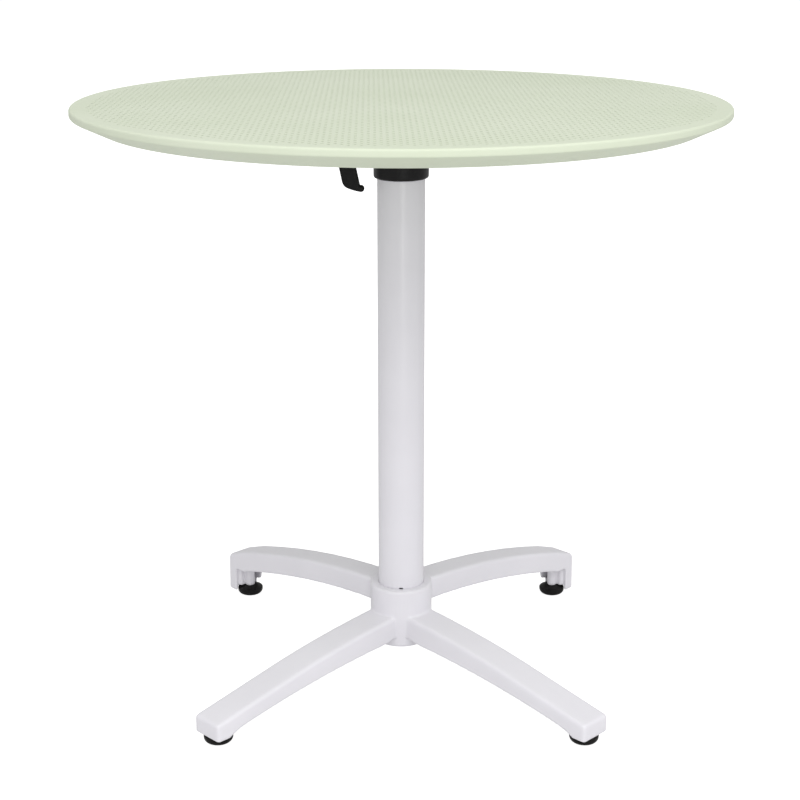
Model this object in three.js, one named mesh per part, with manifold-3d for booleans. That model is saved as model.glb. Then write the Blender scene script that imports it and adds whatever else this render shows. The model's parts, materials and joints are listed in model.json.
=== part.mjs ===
// A flip-top bistro table: a round moulded top, a tilt head with a release lever, a round column and a
// four-legged nesting base on screw feet. Millimetres, +Z up. The origin is on the floor under the
// column's axis. The high legs are on the +Y side, the low legs on the -Y side, the lever on the -X side.
import * as THREE from "three";
import { mergeVertices } from "three/addons/utils/BufferGeometryUtils.js";
import Module from "manifold-3d";

const wasm = await Module();
wasm.setup();

// ---- driving dimensions ----
const GAP = 0.3; // air left between pieces that touch
const FINE = 60; // segments round the top
const ROUND = 48; // segments round the column and the hub
const SMALL = 16; // segments round pins and feet
const TINY = 10; // segments round screws and their holes

const TABLE_HEIGHT = 750;
const TOP_R = 400;
const TOP_DEPTH = 24.5; // face to the underside of the rim
const TOP_EDGE_DEPTH = 8.6; // face to where the rim turns inwards
const TOP_UNDERCUT = 33; // how far the rim slopes inwards
const TOP_EDGE_ROUND = 3;
const TOP_SKIN = 5;
const RIM_WALL = 5;
const RIB = 4;
const RIB_RINGS = [76, 148, 220, 292]; // radii of the ring ribs
const RIB_SPOKES = 12;

const COLUMN_R = 30;
const COLUMN_WALL = 2;
const DRAIN_SLOT = { width: 5, height: 3.1, lip: 1.5 }; // the lip is the part that the hub hides

const HUB_R = 41;
const HUB_FOOT = { r: 37.2, from: 76 }; // below from, the hub narrows to r at its lower edge
const HUB_BOTTOM = 35;
const HUB_TOP = 116;
const HUB_FLOOR = [52, 60]; // the web that the tie rod pulls on
const HUB_RECESS_R = 31;

const LEG_WALL = 4;
const LEG_ROUND = 4; // along the legs' top edges
const HEEL_ROUND = 3.5; // the lower corner of a high leg's end
const TOE_ROUND = 1; // and the inner corner, beside the foot
const FOOT_ARCH = [[324.6, 15], [314, 18], [311, 30]]; // the cut-away over a high leg's foot, as [r, z]
const SHOULDER_ROUND = { high: 7, low: 4.5 }; // the upper corners
const WEB_HALF = 2.5; // the web from each foot boss to the leg's end
const PILLAR = { r: 4.5, inset: 15.5, off: 10 }; // the second post inside each high leg's end
const WINDOW = { from: 295, to: 324.6, top: 41, round: 5 }; // in one side of each high leg, over the foot
const FOOT_CIRCLE_R = 316.5;
const FOOT_BOSS_R = 6.8;
const FOOT_SEAT_Z = 13; // underside of the foot bosses
const HIGH_LEG = { half: 20.5, end: 340.5, lean: 1.5, toe: 6.5, top: 114.5, bottom: 84, curve: 0.00045 };
const LOW_LEG = { half: 23, end: 335, lean: 0, toe: 11.2, end_top: 34.5 };
const LEGS = [
  { name: "back_right", angle: 45, high: true, open_side: -1 },
  { name: "back_left", angle: 135, high: true, open_side: 1 },
  { name: "front_left", angle: 225, high: false, open_side: 0 },
  { name: "front_right", angle: 315, high: false, open_side: 0 },
];

const GLIDE_R = 18.2;
const GLIDE_HEIGHT = FOOT_SEAT_Z - GAP;
const STUD_R = 4; // M8
const STUD_TOP = 31;
const STUD_TIP = 1.2;
const STUD_BUTTON = { r: 7, z: [3.5, 6.5] }; // the riveted end that the glide swivels on

const COLLAR_R = 34.5;
const COLLAR_BOTTOM = 656;
const COLLAR_TOP = 690;
const COLLAR_ROUND = 3;
const HEAD_FLOOR = [672, 680];
const HEAD_POCKET_R = 14;
const DECK_TOP = 723; // the head's flat top, under the buffers
const DECK = { half_x: 34, front: -30, back: 9 };
const TILT = { y: 25, z: 712 }; // the tilt pin's axis, along X
const TILT_BLOCK_HALF = 20;
const TILT_BLOCK_R = 12.6;
const HEAD_CORNER = { back: 5, front: 12, side: 4 }; // of the deck in plan, and of the block from the side
const HEAD_CELL = { from: 18, wall: 4, front: -14, floor: 694 }; // the two open cells in the deck

const ROD_R = 5;
const ROD_HOLE_R = ROD_R + 0.5;
const ROD = [38, 696]; // its ends
const NUT = { flats: 17, height: 8 };
const WASHER = { r: 12, height: 2 };

const TILT_PIN_R = 4;
const TILT_PIN_HALF = 31;
const BUSH = { outer: 6.5, flange_r: 9, flange: 1.5 };
const EAR = { from: 22.3, to: 27.3, r: 12.5 };
const CLIP = { from: 27.7, to: 29, r: 7 };
const BUFFER = { r: 5, x: 27, y: -22, height: 2.2 };

const PLATE_Z = [731, 737];
const PLATE_PAD_Z = 725.5; // the thick middle that lands on the buffers
const PLATE_ARM = { reach: 158, half: 20 };
const PLATE_CORE = { half: 58, corner: 14 };
const PLATE_PAD = { half_x: 36, y: [-34, 14] };
const LEVER_EAR = { half: 9, r: 7.5, air: 0.5, thick: 4 };
const PLATE_RIB = { half: 3, bottom: 727 };
const SCREW_RADII = [96, 144];
const SCREW = { r: 2.5, head_r: 5.5, head: 3.2, edge: 1.6, tip: 1, top: 743 };
const SOCKET = { flats: 3.2, depth: 1.8 };
const SCREW_BOSS_R = 9; // on the underside of the top

const LEVER_PIVOT = { x: -72, z: 716.5 };
const LEVER_Y = -16; // middle of the lever across its width
const LEVER_HUB_R = 8;
const LEVER_HUB_HALF = 8;
const HANDLE_HALF = 4.5;
const HANDLE_ROUND = 2.2;
const LEVER_PIN_R = 3;
const LUG = { reach: -44, root: -26, z: [701.5, 706.5], half: 9 };
const SPRING = { x: -86, r: 3.6, wire: 0.6, turns: 5 };
const SHOULDER_Z = 714.4;
const LEVER_HEAD = [[-84.5, 700], [-81, 688], [-61, 682], [-48, 691]]; // round the hub's lower side
const LEVER_HOOK = { z: [692.5, 695], root: [[-62, 695], [-62.5, 705]] }; // the catch under the lug

// ---- materials ----
const material = (color, roughness, metalness = 0) =>
  new THREE.MeshStandardMaterial({ color, roughness, metalness });
const MATERIALS = {
  green_resin: material(0xd5dec6, 0.55),
  white_paint: material(0xe3e2e6, 0.45),
  column_paint: material(0xd8d8da, 0.4),
  black_paint: material(0x1b1a1b, 0.5),
  black_nylon: material(0x1f1e1d, 0.55),
  black_rubber: material(0x151515, 0.8),
  zinc_steel: material(0xb9bcbe, 0.35, 0.9),
  white_nylon: material(0xe8e8e4, 0.5),
};

// ---- solids ----
// A closed geometry as a manifold-3d solid, turned right side out.
function solid(geometry) {
  const plain = new THREE.BufferGeometry();
  plain.setAttribute("position", geometry.getAttribute("position"));
  if (geometry.index) plain.setIndex(geometry.index);
  const merged = mergeVertices(plain, 1e-4);
  const vertProperties = merged.getAttribute("position").array;
  const triVerts = new Uint32Array(merged.index.array);
  const made = new wasm.Manifold(new wasm.Mesh({ numProp: 3, vertProperties, triVerts }));
  if (made.volume() > 0) return made;
  return new wasm.Manifold(
    new wasm.Mesh({ numProp: 3, vertProperties, triVerts: triVerts.slice().reverse() }),
  );
}

const join = (first, ...rest) => rest.reduce((all, piece) => all.add(piece), first);
const cut = (first, ...rest) => rest.reduce((left, piece) => left.subtract(piece), first);

function bufferOf(made) {
  const mesh = made.getMesh();
  const geometry = new THREE.BufferGeometry();
  const positions = new THREE.BufferAttribute(new Float32Array(mesh.vertProperties), 3);
  geometry.setAttribute("position", positions);
  geometry.setIndex(new THREE.BufferAttribute(new Uint32Array(mesh.triVerts), 1));
  geometry.computeVertexNormals();
  return geometry;
}

const shapeOf = (points) => new THREE.Shape(points.map(([a, b]) => new THREE.Vector2(a, b)));

// Axes that carry an extrusion's (across, up, depth) into the part's frame.
const ALONG_X = new THREE.Matrix4().set(0, 0, 1, 0, 1, 0, 0, 0, 0, 1, 0, 0, 0, 0, 0, 1);
const ALONG_Y = new THREE.Matrix4().set(1, 0, 0, 0, 0, 0, -1, 0, 0, 1, 0, 0, 0, 0, 0, 1);

function extruded(shape, depth, options = {}) {
  return new THREE.ExtrudeGeometry(shape, {
    depth,
    bevelEnabled: false,
    curveSegments: 5,
    ...options,
  });
}

// A shape drawn in (x, y), from z0 up to z1.
function slabZ(shape, z0, z1) {
  return solid(extruded(shape, z1 - z0).translate(0, 0, z0));
}

// A shape drawn in (y, z), from x0 to x1.
function slabX(shape, x0, x1) {
  return solid(extruded(shape, x1 - x0).applyMatrix4(ALONG_X).translate(x0, 0, 0));
}

// A shape drawn in (x, z), from y0 to y1, with its edges rounded by round.
function slabY(shape, y0, y1, round = 0) {
  const options = round
    ? {
        bevelEnabled: true,
        bevelThickness: round,
        bevelSize: round,
        bevelOffset: -round,
        bevelSegments: 2,
      }
    : {};
  const geometry = extruded(shape, y1 - y0 - 2 * round, options);
  return solid(geometry.applyMatrix4(ALONG_Y).translate(0, y1 - round, 0));
}

function box([x0, x1], [y0, y1], [z0, z1]) {
  const geometry = new THREE.BoxGeometry(x1 - x0, y1 - y0, z1 - z0);
  return solid(geometry.translate((x0 + x1) / 2, (y0 + y1) / 2, (z0 + z1) / 2));
}

function rod(r, z0, z1, x = 0, y = 0, segments = SMALL) {
  const geometry = new THREE.CylinderGeometry(r, r, z1 - z0, segments).rotateX(Math.PI / 2);
  return solid(geometry.translate(x, y, (z0 + z1) / 2));
}

function rodX(r, x0, x1, y, z) {
  const geometry = new THREE.CylinderGeometry(r, r, x1 - x0, SMALL).rotateZ(Math.PI / 2);
  return solid(geometry.translate((x0 + x1) / 2, y, z));
}

function rodY(r, y0, y1, x, z) {
  const geometry = new THREE.CylinderGeometry(r, r, y1 - y0, SMALL);
  return solid(geometry.translate(x, (y0 + y1) / 2, z));
}

// A profile of [r, z] points turned about the Z axis. It closes on itself unless it starts on the axis.
function turned(profile, segments = SMALL) {
  const points = profile.map(([r, z]) => new THREE.Vector2(r, z));
  if (profile[0][0] > 0) points.push(points[0].clone());
  return solid(new THREE.LatheGeometry(points, segments).rotateX(Math.PI / 2));
}

// Points on a quarter arc of radius r about (cx, cz), from one angle to another, in degrees.
function arc(cx, cz, r, from, to, steps = 4) {
  return Array.from({ length: steps + 1 }, (_, i) => {
    const angle = THREE.MathUtils.degToRad(from + ((to - from) * i) / steps);
    return [cx + r * Math.cos(angle), cz + r * Math.sin(angle)];
  });
}

const spun = (made, degrees) => made.rotate([0, 0, degrees]);
const polar = (r, degrees) => {
  const angle = THREE.MathUtils.degToRad(degrees);
  return [r * Math.cos(angle), r * Math.sin(angle)];
};

// ---- base casting ----
const highTop = (r) => HIGH_LEG.top - HIGH_LEG.curve * r * r;
const highBottom = (r) => HIGH_LEG.bottom - HIGH_LEG.curve * r * r;
const stations = (from, to, steps) =>
  Array.from({ length: steps + 1 }, (_, i) => from + ((to - from) * i) / steps);

const bezier = (...points) =>
  new THREE.QuadraticBezierCurve(...points.map(([r, z]) => new THREE.Vector2(r, z)));

// The top line of a leg, from the hub to the end, as [r, z] points.
function topLine(high, inset) {
  if (high) return stations(0, HIGH_LEG.end - inset, 9).map((r) => [r, highTop(r) - inset]);
  const bend = bezier([0, 81.5], [109, 76], [200, 59.5]).getPoints(6);
  const line = bend.map((p) => [p.x, p.y - inset]);
  return [...line, [LOW_LEG.end - inset, LOW_LEG.end_top - inset]];
}

// The lower line of a leg, from the end back to the hub. A high leg is cut away over its foot.
function lowerLine(high) {
  if (high) {
    const { end, lean, toe } = HIGH_LEG;
    const heel = arc(end + lean - HEEL_ROUND, toe + HEEL_ROUND, HEEL_ROUND, 0, -90);
    const inner = arc(WINDOW.to + TOE_ROUND, toe + TOE_ROUND, TOE_ROUND, -90, -180, 2);
    const skirt = [[end + lean + 1, toe + HEEL_ROUND], ...heel, ...inner, ...FOOT_ARCH];
    return [...skirt, ...stations(303, 30, 8).map((r) => [r, highBottom(r)])];
  }
  const rise = bezier([316, LOW_LEG.toe], [304, 18.5], [285, 21.3]).getPoints(4);
  const bend = bezier([285, 21.3], [170, 42], [50, 45.8]).getPoints(7);
  const line = [...rise, ...bend.slice(1)].map((p) => [p.x, p.y]);
  return [[LOW_LEG.end + 1, LOW_LEG.toe], ...line, [20, 52]];
}

// One leg along +X: a channel, open below, with a boss and a rib for the foot.
function leg({ high, open_side }) {
  const { half, end, lean } = high ? HIGH_LEG : LOW_LEG;
  const round = high ? SHOULDER_ROUND.high : SHOULDER_ROUND.low;
  const crown = topLine(high, 0).filter(([r]) => r < end - round);
  const endZ = high ? highTop(end) : LOW_LEG.end_top;
  const shoulder = arc(end - round, endZ - round, round, 80, 0);
  const outline = [[0, -10], ...crown, ...shoulder, [end + lean, -10]];
  const side = [[20, 150], [end + lean + 1, 150], ...lowerLine(high)];
  const block = slabY(shapeOf(outline), -half, half, LEG_ROUND);
  const shell = block.intersect(slabY(shapeOf(side), -half - 1, half + 1));

  const inner = topLine(high, LEG_WALL).filter(([r]) => r > HUB_R);
  const hollow = [[HUB_R + 4, -10], [HUB_R + 4, inner[0][1]], ...inner, [end - LEG_WALL, -10]];
  const boss = rod(FOOT_BOSS_R, FOOT_SEAT_Z, HUB_TOP, FOOT_CIRCLE_R, 0);
  const web = box([FOOT_CIRCLE_R, end - 2], [-WEB_HALF, WEB_HALF], [FOOT_SEAT_Z + 1.5, HUB_TOP]);
  const pillar = rod(PILLAR.r, FOOT_SEAT_Z, HUB_TOP, end - PILLAR.inset, PILLAR.off * open_side);
  const fill = (open_side ? join(boss, web, pillar) : join(boss, web)).intersect(block);
  let body = join(cut(shell, slabY(shapeOf(hollow), LEG_WALL - half, half - LEG_WALL)), fill);
  if (open_side) {
    const { from, to, top, round: corner } = WINDOW;
    const roof = arc(to - corner, top - corner, corner, 90, 0);
    const faces = [half - LEG_WALL - 0.5, half + 2].map((l) => l * open_side);
    const window = shapeOf([[from, 0], [from, top], ...roof, [to, 0]]);
    body = cut(body, slabY(window, Math.min(...faces), Math.max(...faces)));
  }
  return cut(body, rod(STUD_R + GAP, 0, STUD_TOP + 1, FOOT_CIRCLE_R, 0));
}

function baseCasting() {
  const socketR = COLUMN_R + GAP;
  const hub = turned(
    [
      [ROD_HOLE_R, HUB_FLOOR[0]],
      [HUB_RECESS_R, HUB_FLOOR[0]],
      [HUB_RECESS_R, HUB_BOTTOM],
      ...arc(HUB_FOOT.r - 2, HUB_BOTTOM + 2, 2, -90, 0, 2),
      [HUB_R, HUB_FOOT.from],
      ...arc(HUB_R - 3, HUB_TOP - 3, 3, 0, 90, 3),
      [socketR + 1.5, HUB_TOP],
      [socketR, HUB_TOP - 1.5],
      [socketR, HUB_FLOOR[1]],
      [ROD_HOLE_R, HUB_FLOOR[1]],
    ],
    ROUND,
  );
  const legs = LEGS.map((each) => spun(leg(each), each.angle));
  const core = join(
    rod(HUB_RECESS_R, 0, HUB_FLOOR[0], 0, 0, ROUND),
    rod(socketR, HUB_FLOOR[1], HUB_TOP + 10, 0, 0, ROUND),
    rod(ROD_HOLE_R, 0, HUB_TOP, 0, 0),
  );
  return join(hub, cut(join(...legs), core));
}

// ---- column and tie rod ----
function columnTube() {
  const [z0, z1] = [HUB_FLOOR[1] + GAP, HEAD_FLOOR[0] - GAP];
  const bore = COLUMN_R - COLUMN_WALL;
  const tube = turned([[COLUMN_R, z0], [COLUMN_R, z1], [bore, z1], [bore, z0]], ROUND);
  const slotZ = HUB_TOP - DRAIN_SLOT.lip;
  const half = DRAIN_SLOT.width / 2;
  const slot = box([-half, half], [-COLUMN_R - 2, -20], [slotZ, slotZ + DRAIN_SLOT.height]);
  return cut(tube, slot);
}

const hexagon = (flats) => shapeOf(stations(0, 300, 5).map((a) => polar(flats / Math.sqrt(3), a)));

function nut(z0) {
  return cut(slabZ(hexagon(NUT.flats), z0, z0 + NUT.height), rod(ROD_R + GAP, z0 - 1, z0 + 20));
}

function washer(z0) {
  return cut(rod(WASHER.r, z0, z0 + WASHER.height), rod(ROD_R + GAP, z0 - 1, z0 + 9));
}

// ---- tilt head ----
function columnHead() {
  const socketR = COLUMN_R + GAP;
  const collar = turned(
    [
      [ROD_HOLE_R, HEAD_FLOOR[0]],
      [socketR, HEAD_FLOOR[0]],
      [socketR, COLLAR_BOTTOM],
      ...arc(COLLAR_R - COLLAR_ROUND, COLLAR_BOTTOM + COLLAR_ROUND, COLLAR_ROUND, -90, 0),
      ...arc(COLLAR_R - 2, COLLAR_TOP - 2, 2, 0, 90, 2),
      [ROD_HOLE_R, COLLAR_TOP],
    ],
    ROUND,
  );
  const corner = HEAD_CORNER;
  const side = shapeOf([
    [DECK.front, COLLAR_TOP - 5],
    [TILT.y - 2, COLLAR_TOP - 5],
    [TILT.y + 6, COLLAR_TOP + 4],
    ...arc(TILT.y, TILT.z, TILT_BLOCK_R, 0, 90, 6),
    [TILT.y - 6, DECK_TOP],
    ...arc(DECK.front + corner.side, DECK_TOP - corner.side, corner.side, 90, 180, 3),
  ]);
  const block = slabX(side, -TILT_BLOCK_HALF, TILT_BLOCK_HALF);
  const { half_x: halfX, front, back } = DECK;
  const plan = shapeOf([
    ...arc(halfX - corner.back, back - corner.back, corner.back, 0, 90, 3),
    ...arc(corner.back - halfX, back - corner.back, corner.back, 90, 180, 3),
    ...arc(corner.front - halfX, front + corner.front, corner.front, 180, 270, 4),
    ...arc(halfX - corner.front, front + corner.front, corner.front, 270, 360, 4),
  ]);
  const deck = slabZ(plan, COLLAR_TOP - 5, DECK_TOP);
  const lugY = [LEVER_Y - LUG.half, LEVER_Y + LUG.half];
  const lug = box([LUG.reach, LUG.root], lugY, LUG.z);
  const pocket = rod(HEAD_POCKET_R, HEAD_FLOOR[1], DECK_TOP + 5, 0, -2, 32);
  const cells = [-1, 1].map((sign) => {
    const xs = [sign * HEAD_CELL.from, sign * (halfX - HEAD_CELL.wall)].sort((a, b) => a - b);
    return box(xs, [HEAD_CELL.front, back - HEAD_CELL.wall], [HEAD_CELL.floor, DECK_TOP + 5]);
  });
  const bore = rodX(BUSH.outer + GAP, -40, 40, TILT.y, TILT.z);
  const rodHole = rod(ROD_HOLE_R, HEAD_FLOOR[0] - 5, COLLAR_TOP + 9);
  return cut(join(collar, block, deck, lug), pocket, ...cells, bore, rodHole);
}

// One flanged bush, on the side that sign gives.
function tiltBush(sign) {
  const [x0, x1] = [1, TILT_BLOCK_HALF + GAP + BUSH.flange];
  const sleeve = rodX(BUSH.outer, x0, x1, TILT.y, TILT.z);
  const flange = rodX(BUSH.flange_r, x1 - BUSH.flange, x1, TILT.y, TILT.z);
  const bush = cut(join(sleeve, flange), rodX(TILT_PIN_R + GAP, 0, 40, TILT.y, TILT.z));
  return sign > 0 ? bush : bush.mirror([1, 0, 0]);
}

function tiltPin() {
  return rodX(TILT_PIN_R, -TILT_PIN_HALF, TILT_PIN_HALF, TILT.y, TILT.z);
}

function pinClip(sign) {
  const ring = rodX(CLIP.r, CLIP.from, CLIP.to, TILT.y, TILT.z);
  const hole = rodX(TILT_PIN_R + GAP, 0, 40, TILT.y, TILT.z);
  const mouth = box([20, 40], [TILT.y - 1.6, TILT.y + 1.6], [TILT.z, TILT.z + 12]);
  const clip = cut(ring, hole, mouth);
  return sign > 0 ? clip : clip.mirror([1, 0, 0]);
}

function restBuffer(sign) {
  const z0 = DECK_TOP + GAP;
  const dome = [
    [0, z0],
    [BUFFER.r, z0],
    ...arc(BUFFER.r - 1, z0 + BUFFER.height - 1.3, 1, 0, 90, 2),
    [0, z0 + BUFFER.height - GAP],
  ];
  return turned(dome).translate([sign * BUFFER.x, BUFFER.y, 0]);
}

// ---- top plate ----
function topPlate() {
  const [z0, z1] = PLATE_Z;
  const { reach, half } = PLATE_ARM;
  const arm = shapeOf([
    ...arc(reach - half, 0, half, -90, 90, 8),
    ...arc(half - reach, 0, half, 90, 270, 8),
  ]);
  const bar = slabZ(arm, z0, z1);
  const rib = box([-reach + 30, reach - 30], [-PLATE_RIB.half, PLATE_RIB.half], [
    PLATE_RIB.bottom,
    z0 + 1,
  ]);
  const { half: core, corner } = PLATE_CORE;
  const square = shapeOf([
    ...arc(core - corner, core - corner, corner, 0, 90),
    ...arc(corner - core, core - corner, corner, 90, 180),
    ...arc(corner - core, corner - core, corner, 180, 270),
    ...arc(core - corner, corner - core, corner, 270, 360),
  ]);
  const pad = box([-PLATE_PAD.half_x, PLATE_PAD.half_x], PLATE_PAD.y, [PLATE_PAD_Z, z0 + 1]);
  const tongueY = [LEVER_Y - LEVER_HUB_HALF - 8, LEVER_Y + LEVER_HUB_HALF + 8];
  const tongue = box([SPRING.x - 9, -core + 10], tongueY, PLATE_Z);

  const earSide = shapeOf([
    [TILT.y + EAR.r, z0 + 1],
    [TILT.y - EAR.r, z0 + 1],
    ...arc(TILT.y, TILT.z, EAR.r, 180, 360, 10),
  ]);
  const ear = slabX(earSide, EAR.from, EAR.to);
  const leverEarSide = shapeOf([
    [LEVER_PIVOT.x + LEVER_EAR.half, z0 + 1],
    [LEVER_PIVOT.x - LEVER_EAR.half, z0 + 1],
    ...arc(LEVER_PIVOT.x, LEVER_PIVOT.z, LEVER_EAR.r, 180, 360, 8),
  ]);
  const earFace = LEVER_HUB_HALF + LEVER_EAR.air;
  const leverEars = [-1, 1].map((sign) => {
    const faces = [earFace, earFace + LEVER_EAR.thick].map((y) => LEVER_Y + sign * y);
    return slabY(leverEarSide, Math.min(...faces), Math.max(...faces));
  });
  const plate = join(
    spun(bar, 45),
    spun(bar, 135),
    spun(rib, 45),
    spun(rib, 135),
    slabZ(square, z0, z1),
    pad,
    tongue,
    ear,
    ear.mirror([1, 0, 0]),
    ...leverEars,
  );
  const holes = screwPlaces().map(([x, y]) => rod(SCREW.r + GAP, 700, 760, x, y, TINY));
  return cut(
    plate,
    ...holes,
    ...screwPlaces().map(([x, y]) => rod(SCREW.head_r + 1.5, 700, z0, x, y, TINY)),
    rodX(TILT_PIN_R + GAP, -60, 60, TILT.y, TILT.z),
    rodY(LEVER_PIN_R + GAP, -40, 40, LEVER_PIVOT.x, LEVER_PIVOT.z),
  );
}

function screwPlaces() {
  return LEGS.flatMap(({ angle }) => SCREW_RADII.map((r) => polar(r, angle)));
}

function plateScrew([x, y]) {
  const seat = PLATE_Z[0] - GAP;
  const head = turned([
    [0, seat - SCREW.head],
    [SCREW.head_r - SCREW.edge, seat - SCREW.head],
    [SCREW.head_r, seat - SCREW.head + SCREW.edge],
    [SCREW.head_r, seat],
    [SCREW.r, seat],
    [SCREW.r, SCREW.top - SCREW.tip],
    [SCREW.r - SCREW.tip, SCREW.top],
    [0, SCREW.top],
  ], TINY);
  const face = seat - SCREW.head;
  const socket = slabZ(hexagon(SOCKET.flats), face - 1, face + SOCKET.depth);
  return cut(head, socket).translate([x, y, 0]);
}

// ---- release lever ----
function latchLever() {
  const { x, z } = LEVER_PIVOT;
  const upper = shapeOf([
    ...arc(x, z, LEVER_HUB_R, 0, 150, 6),
    [SPRING.x + 5.4, SHOULDER_Z],
    [SPRING.x - 5, SHOULDER_Z],
    [SPRING.x - 6, SHOULDER_Z - 4],
    ...LEVER_HEAD,
    ...LEVER_HOOK.z.map((hookZ) => [LUG.reach - 0.5, hookZ]),
    ...LEVER_HOOK.root,
  ]);
  const handle = new THREE.Shape();
  handle.moveTo(-81.5, 694);
  handle.quadraticCurveTo(-78.8, 682, -76.6, 671.5);
  handle.lineTo(-73.1, 654.4);
  handle.quadraticCurveTo(-71.8, 648.4, -67.4, 646.2);
  handle.quadraticCurveTo(-60, 642.8, -50.2, 641.1);
  handle.absarc(-49.4, 645.3, 4.2, -1.75, 1.9, false);
  handle.quadraticCurveTo(-52.2, 657, -55.4, 671.5);
  handle.lineTo(-60.6, 694);
  const body = join(
    slabY(upper, LEVER_Y - LEVER_HUB_HALF, LEVER_Y + LEVER_HUB_HALF),
    slabY(handle, LEVER_Y - HANDLE_HALF, LEVER_Y + HANDLE_HALF, HANDLE_ROUND),
  );
  return cut(body, rodY(LEVER_PIN_R + GAP, -60, 60, x, z));
}

function leverPin() {
  const { x, z } = LEVER_PIVOT;
  const end = LEVER_HUB_HALF + LEVER_EAR.air + LEVER_EAR.thick + GAP;
  const heads = [-1, 1].map((sign) => {
    const faces = [end, end + 1.5].map((y) => LEVER_Y + sign * y);
    return rodY(LEVER_PIN_R + 1.5, Math.min(...faces), Math.max(...faces), x, z);
  });
  return join(rodY(LEVER_PIN_R, LEVER_Y - end - 1, LEVER_Y + end + 1, x, z), ...heads);
}

// The return spring: a round wire along a helix, from the lever's shoulder up to the plate.
function leverSpring() {
  class Helix extends THREE.Curve {
    getPoint(t, target = new THREE.Vector3()) {
      const angle = 2 * Math.PI * SPRING.turns * t;
      const low = SHOULDER_Z + GAP + SPRING.wire;
      const high = PLATE_Z[0] - GAP - SPRING.wire;
      return target.set(SPRING.r * Math.cos(angle), SPRING.r * Math.sin(angle), low + (high - low) * t);
    }
  }
  const wire = shapeOf(stations(0, 300, 5).map((a) => polar(SPRING.wire, a)));
  const geometry = new THREE.ExtrudeGeometry(wire, {
    steps: SPRING.turns * 10,
    extrudePath: new Helix(),
    bevelEnabled: false,
  });
  return solid(geometry.translate(SPRING.x, LEVER_Y, 0));
}

// ---- table top ----
function tableTop() {
  const underside = TABLE_HEIGHT - TOP_DEPTH;
  const skin = TABLE_HEIGHT - TOP_SKIN;
  const rimR = TOP_R - TOP_UNDERCUT;
  const ribBottom = PLATE_Z[1] + GAP; // every rib stops at the level that seats the top plate
  const ribs = RIB_RINGS.flatMap((r) => [
    [r - RIB / 2, skin],
    [r - RIB / 2, ribBottom],
    [r + RIB / 2, ribBottom],
    [r + RIB / 2, skin],
  ]);
  const shell = turned(
    [
      [0, skin],
      ...ribs,
      [rimR - RIM_WALL, skin],
      [rimR - RIM_WALL, underside],
      [rimR, underside],
      [TOP_R - 0.6, TABLE_HEIGHT - TOP_EDGE_DEPTH - 0.6],
      [TOP_R, TABLE_HEIGHT - TOP_EDGE_DEPTH + 0.6],
      ...arc(TOP_R - TOP_EDGE_ROUND, TABLE_HEIGHT - TOP_EDGE_ROUND, TOP_EDGE_ROUND, 0, 90),
      [0, TABLE_HEIGHT],
    ],
    FINE,
  );
  const spokes = stations(0, 360 - 360 / RIB_SPOKES, RIB_SPOKES - 1).map((angle) =>
    spun(box([RIB_RINGS[0], rimR - 2], [-RIB / 2, RIB / 2], [ribBottom + 0.5, skin + 1]), angle),
  );
  const bosses = screwPlaces().map(([x, y]) => rod(SCREW_BOSS_R, ribBottom, skin + 1, x, y, TINY));
  const holes = screwPlaces().map(([x, y]) => rod(SCREW.r + GAP, 700, SCREW.top + 0.5, x, y, TINY));
  return cut(join(shell, ...spokes, ...bosses), ...holes);
}

// ---- feet ----
function footGlide() {
  const neck = STUD_R + GAP;
  const [low, high] = STUD_BUTTON.z;
  return turned([
    [0, 0],
    [GLIDE_R - 6, 0],
    ...arc(GLIDE_R - 7, 7, 7, -70, 0, 4),
    [GLIDE_R, 9],
    [GLIDE_R - 1.2, 10.2],
    [FOOT_BOSS_R + 1.5, GLIDE_HEIGHT],
    [neck, GLIDE_HEIGHT],
    [neck, high + GAP],
    [STUD_BUTTON.r + GAP, high + GAP],
    [STUD_BUTTON.r + GAP, low - GAP],
    [0, low - GAP],
  ], 20);
}

function footStud() {
  const [low, high] = STUD_BUTTON.z;
  return turned([
    [0, low],
    [STUD_BUTTON.r, low],
    [STUD_BUTTON.r, high],
    [STUD_R, high],
    [STUD_R, STUD_TOP - STUD_TIP],
    [STUD_R - STUD_TIP, STUD_TOP],
    [0, STUD_TOP],
  ]);
}

// ---- assembly ----
const table = new THREE.Group();

function add(name, made, finish, parent = table) {
  const mesh = new THREE.Mesh(bufferOf(made), MATERIALS[finish]);
  mesh.name = name;
  parent.add(mesh);
  return mesh;
}

const stand = new THREE.Group();
const tiltingTop = new THREE.Group();
table.add(stand, tiltingTop);

add("base_casting", baseCasting(), "white_paint", stand);
add("column_tube", columnTube(), "column_paint", stand);
add("column_head", columnHead(), "black_paint", stand);
add("tie_rod", rod(ROD_R, ...ROD), "zinc_steel", stand);
add("tie_rod_washer_lower", washer(HUB_FLOOR[0] - GAP - WASHER.height), "zinc_steel", stand);
add("tie_rod_nut_lower", nut(HUB_FLOOR[0] - 2 * GAP - WASHER.height - NUT.height), "zinc_steel", stand);
add("tie_rod_washer_upper", washer(HEAD_FLOOR[1] + GAP), "zinc_steel", stand);
add("tie_rod_nut_upper", nut(HEAD_FLOOR[1] + 2 * GAP + WASHER.height), "zinc_steel", stand);
add("tilt_bush_left", tiltBush(-1), "white_nylon", stand);
add("tilt_bush_right", tiltBush(1), "white_nylon", stand);
add("rest_buffer_left", restBuffer(-1), "black_rubber", stand);
add("rest_buffer_right", restBuffer(1), "black_rubber", stand);

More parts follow.
